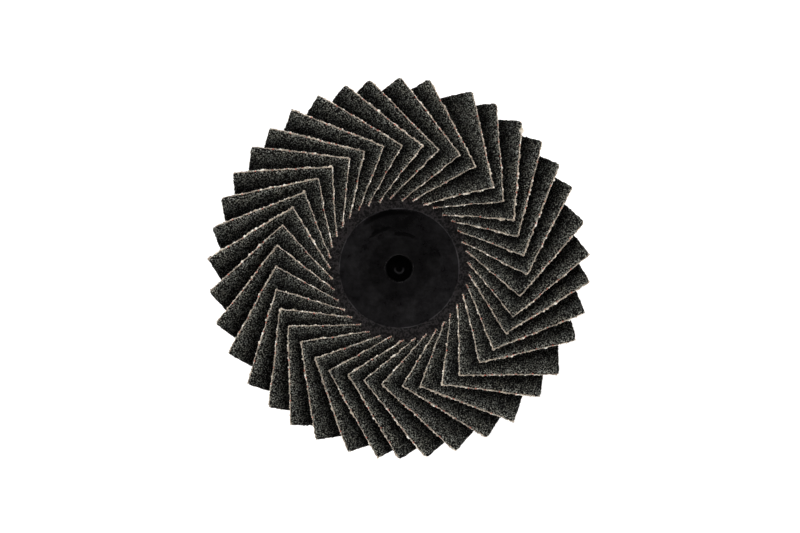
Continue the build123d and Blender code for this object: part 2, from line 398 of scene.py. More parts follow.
# %% The tree and its inputs
STEPS_ACROSS, STEPS_ALONG = 26, 80
flap_tree = bpy.data.node_groups.new("abrasive_flap", "GeometryNodeTree")
flap_inputs = {
    "Raised Corner": "Vector", "Tip": "Vector", "Root Inner": "Vector", "Root Outer": "Vector",
    "Turn": "Float", "Bed Level": "Float", "Inner Rise": "Float", "Outer Rise": "Float",
    "Inner Radius": "Float", "Outer Radius": "Float", "Flap Spacing": "Float",
    "Cloth Thickness": "Float", "Coat Thickness": "Float", "Grain Size": "Float",
    "Shown Near Hub": "Float", "Shown At Rim": "Float", "Shown Inside": "Float",
    "Yarn Spacing": "Float", "Fray": "Float", "Seed": "Int",
}
for name, kind in flap_inputs.items():
    flap_tree.interface.new_socket(name=name, in_out="INPUT", socket_type=f"NodeSocket{kind}")
flap_tree.interface.new_socket(name="Flap", in_out="OUTPUT", socket_type="NodeSocketGeometry")
given = add(flap_tree, "NodeGroupInput").node.outputs
print("flap tree has", len(flap_inputs), "inputs")

# %% [markdown]
# The grid is finer near the free edge, which shows, than near the root, which other flaps hide. The share
# across the flap is a cubic of the grid's own share, with its slope small at the free edge.

# %% Lay the grid between the corners
FREE_EDGE_FINENESS = 0.5
tree = flap_tree
grid = add(tree, "GeometryNodeMeshGrid", {
    "Size X": 1.0, "Size Y": 1.0, "Vertices X": STEPS_ACROSS + 1, "Vertices Y": STEPS_ALONG + 1})
cell = add(tree, "ShaderNodeSeparateXYZ", {0: add(tree, "GeometryNodeInputPosition")}).node.outputs
even = add(tree, "ShaderNodeMath", {0: 0.5, 1: cell["X"]}, operation="SUBTRACT")
along = add(tree, "ShaderNodeMath", {0: 0.5, 1: cell["Y"]}, operation="ADD")
cube = add(tree, "ShaderNodeMath", {0: even, 1: 3.0}, operation="POWER")
across = add(tree, "ShaderNodeMix", {"Factor": FREE_EDGE_FINENESS, 2: cube, 3: even})
free_edge = add(tree, "ShaderNodeMix", {"Factor": along, 4: given["Raised Corner"], 5: given["Tip"]},
                out=1, data_type="VECTOR")
root_edge = add(tree, "ShaderNodeMix", {"Factor": along, 4: given["Root Inner"], 5: given["Root Outer"]},
                out=1, data_type="VECTOR")
flat = add(tree, "ShaderNodeMix", {"Factor": across, 4: free_edge, 5: root_edge}, out=1, data_type="VECTOR")
width = add(tree, "ShaderNodeVectorMath", {0: free_edge, 1: root_edge}, out="Value", operation="DISTANCE")
length = add(tree, "ShaderNodeVectorMath", {0: given["Raised Corner"], 1: given["Tip"]}, out="Value",
             operation="DISTANCE")
from_free = add(tree, "ShaderNodeMath", {0: across, 1: width}, operation="MULTIPLY")
from_inner = add(tree, "ShaderNodeMath", {0: along, 1: length}, operation="MULTIPLY")
from_tip = add(tree, "ShaderNodeMath", {0: length, 1: from_inner}, operation="SUBTRACT")
strip = add(tree, "ShaderNodeMapRange", {
    "Value": from_inner, "From Max": length, "To Min": given["Shown Near Hub"],
    "To Max": given["Shown At Rim"]})
share = add(tree, "ShaderNodeMath", {0: from_free, 1: strip}, operation="DIVIDE")
inner_share = add(tree, "ShaderNodeMath", {0: from_inner, 1: given["Shown Inside"]}, operation="DIVIDE")
share = add(tree, "ShaderNodeMath", {0: share, 1: inner_share}, operation="MINIMUM")
sheet = add(tree, "GeometryNodeStoreNamedAttribute", {
    "Geometry": grid, "Name": "shown_share", "Value": share}, data_type="FLOAT", domain="POINT")
for name, distance in (("across_mm", from_free), ("along_mm", from_inner), ("tip_mm", from_tip)):
    in_mm = add(tree, "ShaderNodeMath", {0: distance, 1: MM}, operation="DIVIDE")
    sheet = add(tree, "GeometryNodeStoreNamedAttribute", {"Geometry": sheet, "Name": name, "Value": in_mm},
                data_type="FLOAT", domain="POINT")
print("grid", STEPS_ACROSS, "by", STEPS_ALONG)

# %% [markdown]
# A punched edge isn't a ruled line. Two noises move the plan: a slow one that bends the edges by a tenth of a
# millimetre or so, and a quick one, only near the edges, that makes them ragged. The tip corner is worn round
# by drawing it in towards a quarter circle. Each flap reads the noises at its own place, one step of the seed
# further on.

# %% Wander, fray and round the plan
WANDER, WANDER_LENGTH = 0.22 * MM, 8.0 * MM
RAG, RAG_LENGTH, RAG_DEPTH = 0.22 * MM, 0.5 * MM, 0.4 * MM
CORNER_RADIUS = 0.7 * MM
SEED_STEP = (0.137, 0.071, 0.053)  # metres, many times the size of a flap
NO_LENGTH = 0.001 * MM  # keeps a division from meeting a zero
seed_shift = add(tree, "ShaderNodeVectorMath", {0: given["Seed"], 1: SEED_STEP}, operation="MULTIPLY")
noise_place = add(tree, "ShaderNodeVectorMath", {0: flat, 1: seed_shift}, operation="ADD")
near_edge = add(tree, "ShaderNodeMath", {0: from_free, 1: from_inner}, operation="MINIMUM")
near_edge = add(tree, "ShaderNodeMath", {0: near_edge, 1: from_tip}, operation="MINIMUM")
edge_share = add(tree, "ShaderNodeMapRange", {
    "Value": near_edge, "From Max": RAG_DEPTH, "To Min": 1.0, "To Max": 0.0})
moves = []
for amount, wave, share in ((WANDER, WANDER_LENGTH, 1.0), (RAG, RAG_LENGTH, edge_share)):
    noise = add(tree, "ShaderNodeTexNoise", {"Vector": noise_place, "Scale": 1 / wave, "Detail": 1.0},
                out="Color")
    centred = add(tree, "ShaderNodeVectorMath", {0: noise, 1: (0.5, 0.5, 0.5)}, operation="SUBTRACT")
    level = add(tree, "ShaderNodeVectorMath", {0: centred, 1: (2.0, 2.0, 0.0)}, operation="MULTIPLY")
    strength = add(tree, "ShaderNodeMath", {0: share, 1: amount}, operation="MULTIPLY")
    moves.append(add(tree, "ShaderNodeVectorMath", {0: level, "Scale": strength}, operation="SCALE"))
plan = add(tree, "ShaderNodeVectorMath", {0: flat, 1: moves[0]}, operation="ADD")
plan = add(tree, "ShaderNodeVectorMath", {0: plan, 1: moves[1]}, operation="ADD")

inset = [add(tree, "ShaderNodeMath", {0: CORNER_RADIUS, 1: d}, operation="SUBTRACT")
         for d in (from_free, from_tip)]
inset = [add(tree, "ShaderNodeMath", {0: d, 1: 0.0}, operation="MAXIMUM") for d in inset]
square = add(tree, "ShaderNodeMath", {0: inset[0], 1: inset[1]}, operation="MAXIMUM")
reach = add(tree, "ShaderNodeVectorMath", {0: add(tree, "ShaderNodeCombineXYZ", {0: inset[0], 1: inset[1]})},
            out="Value", operation="LENGTH")
reach = add(tree, "ShaderNodeMath", {0: reach, 1: NO_LENGTH}, operation="MAXIMUM")
excess = add(tree, "ShaderNodeMath", {0: square, 1: reach}, operation="DIVIDE")
excess = add(tree, "ShaderNodeMath", {0: 1.0, 1: excess}, operation="SUBTRACT")
both = add(tree, "ShaderNodeMath", {0: inset[0], 1: inset[1]}, operation="MULTIPLY")
is_corner = add(tree, "ShaderNodeMath", {0: both, 1: 0.0}, operation="GREATER_THAN")
excess = add(tree, "ShaderNodeMath", {0: excess, 1: is_corner}, operation="MULTIPLY")
draw_in = add(tree, "ShaderNodeCombineXYZ", {0: inset[0], 1: inset[1]})
draw_in = add(tree, "ShaderNodeVectorMath", {0: draw_in, "Scale": excess}, operation="SCALE")
plan = add(tree, "ShaderNodeVectorMath", {0: plan, 1: draw_in}, operation="SUBTRACT")
print("edges wander up to", WANDER / MM, "mm")

# %% [markdown]
# Now the climb. The angle by which a point lies ahead of the root line is taken at the point's own radius:
# the root line crosses that circle at the arc cosine of its offset over the radius.

# %% Lift the sheet
spot = add(tree, "ShaderNodeSeparateXYZ", {0: plan}).node.outputs
radius = add(tree, "ShaderNodeVectorMath", {0: plan}, out="Value", operation="LENGTH")
offset = add(tree, "ShaderNodeSeparateXYZ", {0: given["Root Inner"]}).node.outputs["X"]
root_angle = add(tree, "ShaderNodeMath", {
    0: add(tree, "ShaderNodeMath", {0: offset, 1: radius}, operation="DIVIDE")}, operation="ARCCOSINE")
point_angle = add(tree, "ShaderNodeMath", {0: spot["Y"], 1: spot["X"]}, operation="ARCTAN2")
ahead = add(tree, "ShaderNodeMath", {0: root_angle, 1: point_angle}, operation="SUBTRACT")
ahead = add(tree, "ShaderNodeMath", {0: ahead, 1: given["Flap Spacing"]}, operation="DIVIDE")
rise = add(tree, "ShaderNodeMapRange", {
    "Value": radius, "From Min": given["Inner Radius"], "From Max": given["Outer Radius"],
    "To Min": given["Inner Rise"], "To Max": given["Outer Rise"]}, clamp=False)
lift = add(tree, "ShaderNodeMath", {0: ahead, 1: rise, 2: given["Bed Level"]}, operation="MULTIPLY_ADD")
lifted = add(tree, "ShaderNodeCombineXYZ", {"X": spot["X"], "Y": spot["Y"], "Z": lift})
sheet = add(tree, "GeometryNodeSetPosition", {"Geometry": sheet, "Position": lifted})
print("sheet lifted by the climb")

# %% [markdown]
# The sheet is closed into a solid: the grid itself, turned over, is the cloth's back, and an extruded copy is
# the coated face. Along the cut edges the coat has broken away, so the face steps down to bare cloth there.
# How far the coat stands back is a noise along the edge, kept as an attribute for the material.

# %% Give the sheet its thickness
EDGE_LOSS = {"across_mm": 0.1, "along_mm": 0.08, "tip_mm": 0.02}  # mean width of bare cloth, mm
LOSS_LENGTH, LEAST_LOSS, MOST_LOSS = 2.0 * MM, 0.45, 1.55
COAT_FOOT, COAT_BROW = -0.05, 0.1  # mm from the break, between which the coat steps up
WELD = 0.0005 * MM
named = {name: add(tree, "GeometryNodeInputNamedAttribute", {"Name": name}, data_type="FLOAT")
         for name in EDGE_LOSS}
loss_noise = add(tree, "ShaderNodeTexNoise", {
    "Vector": noise_place, "Scale": 1 / LOSS_LENGTH, "Detail": 2.0}, out="Fac")
loss = add(tree, "ShaderNodeMapRange", {
    "Value": loss_noise, "From Min": 0.3, "From Max": 0.7, "To Min": LEAST_LOSS, "To Max": MOST_LOSS})
gaps = []
for name, mean in EDGE_LOSS.items():
    stand_back = add(tree, "ShaderNodeMath", {0: loss, 1: mean}, operation="MULTIPLY")
    gaps.append(add(tree, "ShaderNodeMath", {0: named[name], 1: stand_back}, operation="SUBTRACT"))
edge_gap = add(tree, "ShaderNodeMath", {0: gaps[0], 1: gaps[1]}, operation="MINIMUM")
edge_gap = add(tree, "ShaderNodeMath", {0: edge_gap, 1: gaps[2]}, operation="MINIMUM")
sheet = add(tree, "GeometryNodeStoreNamedAttribute", {
    "Geometry": sheet, "Name": "edge_gap", "Value": edge_gap}, data_type="FLOAT", domain="POINT")
coated = add(tree, "ShaderNodeMapRange", {"Value": edge_gap, "From Min": COAT_FOOT, "From Max": COAT_BROW})
thickness = add(tree, "ShaderNodeMath", {
    0: coated, 1: given["Coat Thickness"], 2: given["Cloth Thickness"]}, operation="MULTIPLY_ADD")
outward = add(tree, "ShaderNodeVectorMath", {0: add(tree, "GeometryNodeInputNormal"), "Scale": thickness},
              operation="SCALE")
sheet = add(tree, "GeometryNodeStoreNamedAttribute", {
    "Geometry": sheet, "Name": "outward", "Value": outward}, data_type="FLOAT_VECTOR", domain="POINT")
back = add(tree, "GeometryNodeFlipFaces", {"Mesh": sheet})
back = add(tree, "GeometryNodeSetMaterial", {"Geometry": back, "Material": back_material})
raised = add(tree, "GeometryNodeExtrudeMesh", {"Mesh": sheet, "Offset Scale": 0.0, "Individual": False})
face_part, side_part = raised.node.outputs["Top"], raised.node.outputs["Side"]
outward = add(tree, "GeometryNodeInputNamedAttribute", {"Name": "outward"}, data_type="FLOAT_VECTOR")
raised = add(tree, "GeometryNodeSetPosition", {"Geometry": raised, "Selection": face_part, "Offset": outward})
raised = add(tree, "GeometryNodeSetMaterial", {"Geometry": raised, "Material": ground_material})
raised = add(tree, "GeometryNodeSetMaterial", {
    "Geometry": raised, "Selection": side_part, "Material": yarn_material})
raised = add(tree, "GeometryNodeSetShadeSmooth", {
    "Geometry": raised, "Selection": side_part, "Shade Smooth": False})
grit_face = add(tree, "GeometryNodeSeparateGeometry", {"Geometry": raised, "Selection": face_part},
                domain="FACE")
body = add(tree, "GeometryNodeJoinGeometry").node
tree.links.new(back, body.inputs[0])
tree.links.new(raised, body.inputs[0])
body = add(tree, "GeometryNodeMergeByDistance", {"Geometry": body.outputs[0], "Distance": WELD})
print("sheet closed")

# %% [markdown]
# ## Grains
# Crushed silicon carbide is scattered over the resin so that no two grains overlap, which is what Poisson
# scattering does. A grain is a stretched octahedron, eight facets, turned at random and then dented, so that
# no two look alike. They are only scattered where they can be seen: in the strips along the free edge and
# the inner edge that the next flap leaves open. None sits on the cloth that is bare along the cut.

# %% Scatter the grains
GRAIN_GAP = 0.75  # least distance between the middles of two grains, in grain sizes
GRAINS_PER_MM2 = 15.0  # more than fit, so that the gap sets how many there are
GRAIN_SHAPES = (0.75, 0.75, 1.0), (1.2, 1.2, 1.5)  # from the flattest to the longest
DENT = GRAIN / 1.7  # width of the dents
HIDDEN_MARGIN = 0.9 * MM  # how far grains reach in under the next flap
HELD_FROM = 0.02  # mm behind the break in the coat
reach = add(tree, "ShaderNodeMath", {0: strip, 1: HIDDEN_MARGIN}, operation="ADD")
in_strip = add(tree, "FunctionNodeCompare", {0: from_free, 1: reach}, operation="LESS_THAN")
reach = add(tree, "ShaderNodeMath", {0: given["Shown Inside"], 1: HIDDEN_MARGIN}, operation="ADD")
inside = add(tree, "FunctionNodeCompare", {0: from_inner, 1: reach}, operation="LESS_THAN")
visible = add(tree, "FunctionNodeBooleanMath", {0: in_strip, 1: inside}, operation="OR")
kept_gap = add(tree, "GeometryNodeInputNamedAttribute", {"Name": "edge_gap"}, data_type="FLOAT")
held = add(tree, "FunctionNodeCompare", {0: kept_gap, 1: HELD_FROM}, operation="GREATER_THAN")
visible = add(tree, "FunctionNodeBooleanMath", {0: visible, 1: held}, operation="AND")
shortest = add(tree, "ShaderNodeMath", {0: given["Grain Size"], 1: GRAIN_GAP}, operation="MULTIPLY")
spots = add(tree, "GeometryNodeDistributePointsOnFaces", {
    "Mesh": grit_face, "Selection": visible, "Distance Min": shortest,
    "Density Max": GRAINS_PER_MM2 / MM**2, "Density Factor": 1.0, "Seed": given["Seed"]},
    distribute_method="POISSON")
tint = add(tree, "FunctionNodeRandomValue", {"Min": 0.0, "Max": 1.0, "Seed": 11}, out=1, data_type="FLOAT")
spots = add(tree, "GeometryNodeStoreNamedAttribute", {
    "Geometry": spots, "Name": "grain_tint", "Value": tint}, data_type="FLOAT", domain="POINT")
octahedron = add(tree, "GeometryNodeMeshUVSphere", {"Segments": 4, "Rings": 2, "Radius": 0.5})
octahedron = add(tree, "GeometryNodeSetShadeSmooth", {"Geometry": octahedron, "Shade Smooth": False})
tumble = add(tree, "FunctionNodeRandomValue", {
    0: (0, 0, 0), 1: (math.tau, math.tau, math.tau), "Seed": 12}, data_type="FLOAT_VECTOR")
tumble = add(tree, "FunctionNodeEulerToRotation", {0: tumble})
stretch = add(tree, "FunctionNodeRandomValue", {0: GRAIN_SHAPES[0], 1: GRAIN_SHAPES[1], "Seed": 13},
              data_type="FLOAT_VECTOR")
stretch = add(tree, "ShaderNodeVectorMath", {0: stretch, "Scale": given["Grain Size"]}, operation="SCALE")
grains = add(tree, "GeometryNodeInstanceOnPoints", {
    "Points": spots, "Instance": octahedron, "Rotation": tumble, "Scale": stretch})
grains = add(tree, "GeometryNodeRealizeInstances", {"Geometry": grains})
dent = add(tree, "ShaderNodeTexNoise", {
    "Vector": add(tree, "GeometryNodeInputPosition"), "Scale": 1 / DENT, "Detail": 0.0}, out="Color")
dent = add(tree, "ShaderNodeVectorMath", {0: dent, 1: (0.5, 0.5, 0.5)}, operation="SUBTRACT")
dent = add(tree, "ShaderNodeVectorMath", {0: dent, "Scale": given["Grain Size"]}, operation="SCALE")
grains = add(tree, "GeometryNodeSetPosition", {"Geometry": grains, "Offset": dent})
grains = add(tree, "GeometryNodeSetMaterial", {"Geometry": grains, "Material": coat_material})
print("grains of", round(GRAIN / MM, 2), "mm")

# %% [markdown]
# ## Yarn ends
# Every yarn that the punch cut through ends in a small tuft. The tufts follow the free edge and the inner
# edge, one for each yarn: a curve is taken from those edges of the grid, stepped at the yarn spacing, and a
# soft stub of twenty faces is set at each step. Slow noise along the edge makes them swell where the cloth
# has frayed.

# %% Set the yarn ends along the cut
STUBS = (0.28, 0.14, 0.12), (0.56, 0.48, 0.34)  # mm along the cut, out of it and through the cloth
JITTER = Vector((0.06, 0.06, 0.08))  # mm either way
YARN_LEVEL = 0.62  # of the cloth's thickness, from its back
FRAY_LENGTH, LEAST_FRAY, MOST_FRAY = 1.6 * MM, 0.6, 2.4
ON_EDGE = 0.001  # mm
on_free = add(tree, "FunctionNodeCompare", {0: named["across_mm"], 1: ON_EDGE}, operation="LESS_THAN")
on_inner = add(tree, "FunctionNodeCompare", {0: named["along_mm"], 1: ON_EDGE}, operation="LESS_THAN")
on_cut = add(tree, "FunctionNodeBooleanMath", {0: on_free, 1: on_inner}, operation="OR")
face_normal = add(tree, "GeometryNodeInputNormal")
rim = add(tree, "GeometryNodeStoreNamedAttribute", {
    "Geometry": sheet, "Name": "face_normal", "Value": face_normal}, data_type="FLOAT_VECTOR",
    domain="POINT")
rim = add(tree, "GeometryNodeMeshToCurve", {"Mesh": rim, "Selection": on_cut})
rim = add(tree, "GeometryNodeResampleCurve", {"Curve": rim, "Length": given["Yarn Spacing"]}, mode="LENGTH")
tangent = add(tree, "GeometryNodeInputTangent")
rim = add(tree, "GeometryNodeStoreNamedAttribute", {
    "Geometry": rim, "Name": "run", "Value": tangent}, data_type="FLOAT_VECTOR", domain="POINT")
face_normal = add(tree, "GeometryNodeInputNamedAttribute", {"Name": "face_normal"}, data_type="FLOAT_VECTOR")
run = add(tree, "GeometryNodeInputNamedAttribute", {"Name": "run"}, data_type="FLOAT_VECTOR")
height = add(tree, "ShaderNodeMath", {0: given["Cloth Thickness"], 1: YARN_LEVEL}, operation="MULTIPLY")
jitter = add(tree, "FunctionNodeRandomValue", {0: -JITTER, 1: JITTER, "Seed": 21}, data_type="FLOAT_VECTOR")
jitter = add(tree, "ShaderNodeVectorMath", {0: jitter, "Scale": MM}, operation="SCALE")
level = add(tree, "ShaderNodeVectorMath", {0: face_normal, "Scale": height}, operation="SCALE")
level = add(tree, "ShaderNodeVectorMath", {0: level, 1: jitter}, operation="ADD")
ends = add(tree, "GeometryNodeSetPosition", {"Geometry": rim, "Offset": level})
tint = add(tree, "FunctionNodeRandomValue", {"Min": 0.0, "Max": 1.0, "Seed": 22}, out=1, data_type="FLOAT")
ends = add(tree, "GeometryNodeStoreNamedAttribute", {
    "Geometry": ends, "Name": "yarn_tint", "Value": tint}, data_type="FLOAT", domain="POINT")
facing = add(tree, "FunctionNodeAxesToRotation", {"Primary Axis": face_normal, "Secondary Axis": run},
             primary_axis="Z", secondary_axis="X")
place = add(tree, "ShaderNodeVectorMath", {
    0: add(tree, "GeometryNodeInputPosition"), 1: seed_shift}, operation="ADD")
fray = add(tree, "ShaderNodeTexNoise", {"Vector": place, "Scale": 1 / FRAY_LENGTH, "Detail": 2.0}, out="Fac")
fray = add(tree, "ShaderNodeMapRange", {
    "Value": fray, "From Min": 0.42, "From Max": 0.8, "To Min": LEAST_FRAY, "To Max": MOST_FRAY})
fray = add(tree, "ShaderNodeMath", {0: fray, 1: given["Fray"]}, operation="MULTIPLY")
stub = add(tree, "FunctionNodeRandomValue", {0: STUBS[0], 1: STUBS[1], "Seed": 23}, data_type="FLOAT_VECTOR")
stub = add(tree, "ShaderNodeVectorMath", {0: stub, "Scale": fray}, operation="SCALE")
stub = add(tree, "ShaderNodeVectorMath", {0: stub, "Scale": MM}, operation="SCALE")
tuft = add(tree, "GeometryNodeMeshIcoSphere", {"Radius": 0.5, "Subdivisions": 1})
tuft = add(tree, "GeometryNodeSetShadeSmooth", {"Geometry": tuft, "Shade Smooth": True})
tufts = add(tree, "GeometryNodeInstanceOnPoints", {
    "Points": ends, "Instance": tuft, "Rotation": facing, "Scale": stub})
print("stubs of", STUBS[0], "to", STUBS[1], "mm")

# %% [markdown]
# Here and there a single fibre has pulled loose and stands out in a hook, and a crumb of the rust-red resin
# sits on a yarn. Both use the same points as the tufts, picked at random, so they always start on a yarn.

# %% Loose fibres and crumbs
BOW = {"Start": (0, 0, 0), "Start Handle": (0.1, 0.45, 0.0), "End Handle": (0.6, 0.7, 0.25),
       "End": (0.75, 0.35, 0.4)}  # a hook, in shares of its own size
HOOK_SIZES = (-0.9, 0.4, -0.3), (0.9, 1.0, 1.0)  # mm; below zero it hooks the other way
FIBRE_RADIUS = 0.035
LOOSE_SHARE, CRUMB_SHARE = 0.07, 0.12  # of all yarns
CRUMB = 0.26 * MM
CRUMB_SHAPES = (0.7, 0.7, 0.7), (1.3, 1.3, 1.0)
bow = add(tree, "GeometryNodeCurvePrimitiveBezierSegment", {"Resolution": 5, **BOW})
strand = add(tree, "GeometryNodeCurvePrimitiveCircle", {"Resolution": 3, "Radius": FIBRE_RADIUS})
bow = add(tree, "GeometryNodeCurveToMesh", {"Curve": bow, "Profile Curve": strand, "Fill Caps": True})
loose = add(tree, "FunctionNodeRandomValue", {"Probability": LOOSE_SHARE, "Seed": 24}, out=3,
            data_type="BOOLEAN")
reach = add(tree, "FunctionNodeRandomValue", {0: HOOK_SIZES[0], 1: HOOK_SIZES[1], "Seed": 25},
            data_type="FLOAT_VECTOR")
reach = add(tree, "ShaderNodeVectorMath", {0: reach, "Scale": MM}, operation="SCALE")
hooks = add(tree, "GeometryNodeInstanceOnPoints", {
    "Points": ends, "Selection": loose, "Instance": bow, "Rotation": facing, "Scale": reach})
stained = add(tree, "GeometryNodeStoreNamedAttribute", {
    "Geometry": ends, "Name": "yarn_tint", "Value": 1.0}, data_type="FLOAT", domain="POINT")
lifted = add(tree, "ShaderNodeVectorMath", {0: face_normal, "Scale": CRUMB}, operation="SCALE")
stained = add(tree, "GeometryNodeSetPosition", {"Geometry": stained, "Offset": lifted})
few = add(tree, "FunctionNodeRandomValue", {"Probability": CRUMB_SHARE, "Seed": 26}, out=3,
          data_type="BOOLEAN")
crumb_size = add(tree, "FunctionNodeRandomValue", {0: CRUMB_SHAPES[0], 1: CRUMB_SHAPES[1], "Seed": 27},
                 data_type="FLOAT_VECTOR")
crumb_size = add(tree, "ShaderNodeVectorMath", {0: crumb_size, "Scale": CRUMB}, operation="SCALE")
crumbs = add(tree, "GeometryNodeInstanceOnPoints", {
    "Points": stained, "Selection": few, "Instance": tuft, "Rotation": facing, "Scale": crumb_size})
yarns = add(tree, "GeometryNodeJoinGeometry").node
for part in (tufts, hooks, crumbs):
    tree.links.new(part, yarns.inputs[0])
yarns = add(tree, "GeometryNodeRealizeInstances", {"Geometry": yarns.outputs[0]})
yarns = add(tree, "GeometryNodeSetMaterial", {"Geometry": yarns, "Material": yarn_material})
print("yarns every", round(YARN / MM, 2), "mm")

# %% [markdown]
# Last, everything is joined, made real and turned to its place round the axis.

# %% Finish the tree
whole = add(tree, "GeometryNodeJoinGeometry").node
for part in (body, grains, yarns):
    tree.links.new(part, whole.inputs[0])
about_axis = add(tree, "ShaderNodeCombineXYZ", {"Z": given["Turn"]})
turned = add(tree, "GeometryNodeTransform", {
    "Geometry": whole.outputs[0], "Rotation": add(tree, "FunctionNodeEulerToRotation", {0: about_axis})})
real = add(tree, "GeometryNodeRealizeInstances", {"Geometry": turned})
add(tree, "NodeGroupOutput", {"Flap": real})
print("tree has", len(tree.nodes), "nodes")

# %% [markdown]
# ## Making the flaps
# The tree runs once for each flap of the frame, with that flap's own corners. How much of it the next flap
# leaves open follows from the next flap's corners, turned on by one spacing. A few flaps were handled more
# roughly and are frayed more. A modifier's inputs are set by the identifiers of the sockets, and the
# evaluated result is kept as a plain mesh.


# %% Run the tree for every flap
def evaluated_mesh(piece):
    """The piece's mesh with its modifiers applied."""
    ready = piece.evaluated_get(bpy.context.evaluated_depsgraph_get())
    return bpy.data.meshes.new_from_object(ready)


def grown(tree, name, values):
    """Plain mesh of a Geometry Nodes tree, run with the given inputs."""
    holder = piece_from(bpy.data.meshes.new(name), name)
    modifier = holder.modifiers.new("tree", "NODES")
    modifier.node_group = tree
    for item in tree.interface.items_tree:
        if item.item_type == "SOCKET" and item.in_out == "INPUT":
            modifier[item.identifier] = values[item.name]
    mesh = evaluated_mesh(holder)
    mesh.name = name
    bpy.data.objects.remove(holder)
    return mesh


CLOTH, COAT = 0.42 * MM, 0.12 * MM  # thickness; the grains stand on the coat
TUFT_SPACING = 1.15 * YARN  # a little over a yarn, as some yarns break off inside the cut
FRAYED = {"flap_02": 1.25, "flap_03": 1.35, "flap_05": 1.25, "flap_17": 1.2, "flap_34": 1.2}
turned_on = Matrix.Rotation(spacing, 3, "Z")
measured = [measure(nodes[name]) for name in flap_names]
next_ones = measured[1:] + measured[:1]
flap_triangles = 0
for number, name in enumerate(flap_names):
    own, turn, bed, raised_height, tip_height = measured[number]
    along_edge = (own["Tip"] - own["Raised Corner"]).normalized()
    across_face = Vector((-along_edge.y, along_edge.x, 0))
    above = {n: turned_on @ p - own["Raised Corner"] for n, p in next_ones[number][0].items()}
    climbs = {}
    for corner, height in (("Raised Corner", raised_height), ("Tip", tip_height)):
        point = own[corner]
        reach = plan_radius(point)
        ahead = math.acos(own["Root Inner"].x / reach) - math.atan2(point.y, point.x)
        climbs[corner] = (reach, height * spacing / ahead)
    values = {
        **own, "Turn": turn, "Bed Level": bed, "Flap Spacing": spacing, "Seed": number + 1,
        "Inner Radius": climbs["Raised Corner"][0], "Inner Rise": climbs["Raised Corner"][1],
        "Outer Radius": climbs["Tip"][0], "Outer Rise": climbs["Tip"][1],
        "Cloth Thickness": CLOTH, "Coat Thickness": COAT, "Grain Size": GRAIN,
        "Shown Near Hub": above["Raised Corner"].dot(across_face),
        "Shown At Rim": above["Tip"].dot(across_face),
        "Shown Inside": max(above[n].dot(along_edge) for n in ("Raised Corner", "Root Inner")),
        "Yarn Spacing": TUFT_SPACING, "Fray": FRAYED.get(name, 1.0),
    }
    mesh = grown(flap_tree, f"{name}_cloth", values)
    flap = piece_from(mesh, f"{name}_cloth")
    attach(flap, "root")
    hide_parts(name)
    mesh.calc_loop_triangles()
    flap_triangles += len(mesh.loop_triangles)
print(len(flap_names), "flaps,", flap_triangles, "triangles")

# %% [markdown]
# ## Backing plate
# The frame's plate has the right form in coarse facets. Its turned profile is read from the frame by cutting
# a merged copy with a half plane through the axis, clear of the ejector marks. The cut's edges are then
# walked from the axis outwards, over the face and the rim, and back to the axis under the stud.

# %% Read the plate's profile
MERGE, CUT = 0.001 * MM, 0.0001 * MM
AXIS_REACH = 0.01  # mm; a point no further out than this is on the axis


def profile_of(node):
    """Points (radius, height) in mm of the half section at +Y of a turned node, from axis to axis."""
    mesh = bmesh.new()
    mesh.from_mesh(node.data)
    bmesh.ops.remove_doubles(mesh, verts=mesh.verts, dist=MERGE)
    everything = mesh.verts[:] + mesh.edges[:] + mesh.faces[:]
    cut = bmesh.ops.bisect_plane(mesh, geom=everything, plane_co=(0, 0, 0), plane_no=(1, 0, 0),
                                 dist=CUT)["geom_cut"]
    joins = {}
    for edge in cut:
        if isinstance(edge, bmesh.types.BMEdge) and min(v.co.y for v in edge.verts) > -MERGE:
            ends = [(round(v.co.y / MM, 3), round(v.co.z / MM, 3)) for v in edge.verts]
            joins.setdefault(ends[0], set()).add(ends[1])
            joins.setdefault(ends[1], set()).add(ends[0])
    mesh.free()
    walk = [max((p for p in joins if p[0] < AXIS_REACH), key=lambda p: p[1])]
    while True:
        onward = [p for p in joins[walk[-1]] if p not in walk]
        if not onward:
            break
        walk.append(max(onward))
    # The end face has no vertex on the axis, so the last point is put there.
    return walk + [(0.0, walk[-1][1])] if walk[-1][0] > AXIS_REACH else walk


profile = profile_of(nodes["backing_plate"])
land_level = max(z for r, z in profile) * MM
mouth_radius = min(r for r, z in profile if z * MM > land_level - MERGE) * MM
stud_end = min(z for r, z in profile) * MM
stud_radius = max(r for r, z in profile if z * MM < stud_end / 2) * MM
print("profile of", len(profile), "points:", profile)
print("mouth radius", round(mouth_radius / MM, 2), "mm, stud radius", round(stud_radius / MM, 2), "mm")

# %% [markdown]
# ## Moulded plastic
# The backing plate is injection moulded in black glass-filled nylon. Everything further out than the mouth of
# the recess, on the face and on the back, was cut in the mould by spark erosion, so it is pebbled and matt.
# The pebbles are drawn a little coarser than real ones, or they wouldn't show. The recess, the stud and the
# middle of the seat are smooth, with the soft gloss of nylon and the cloudy flow marks that glass filling
# leaves.

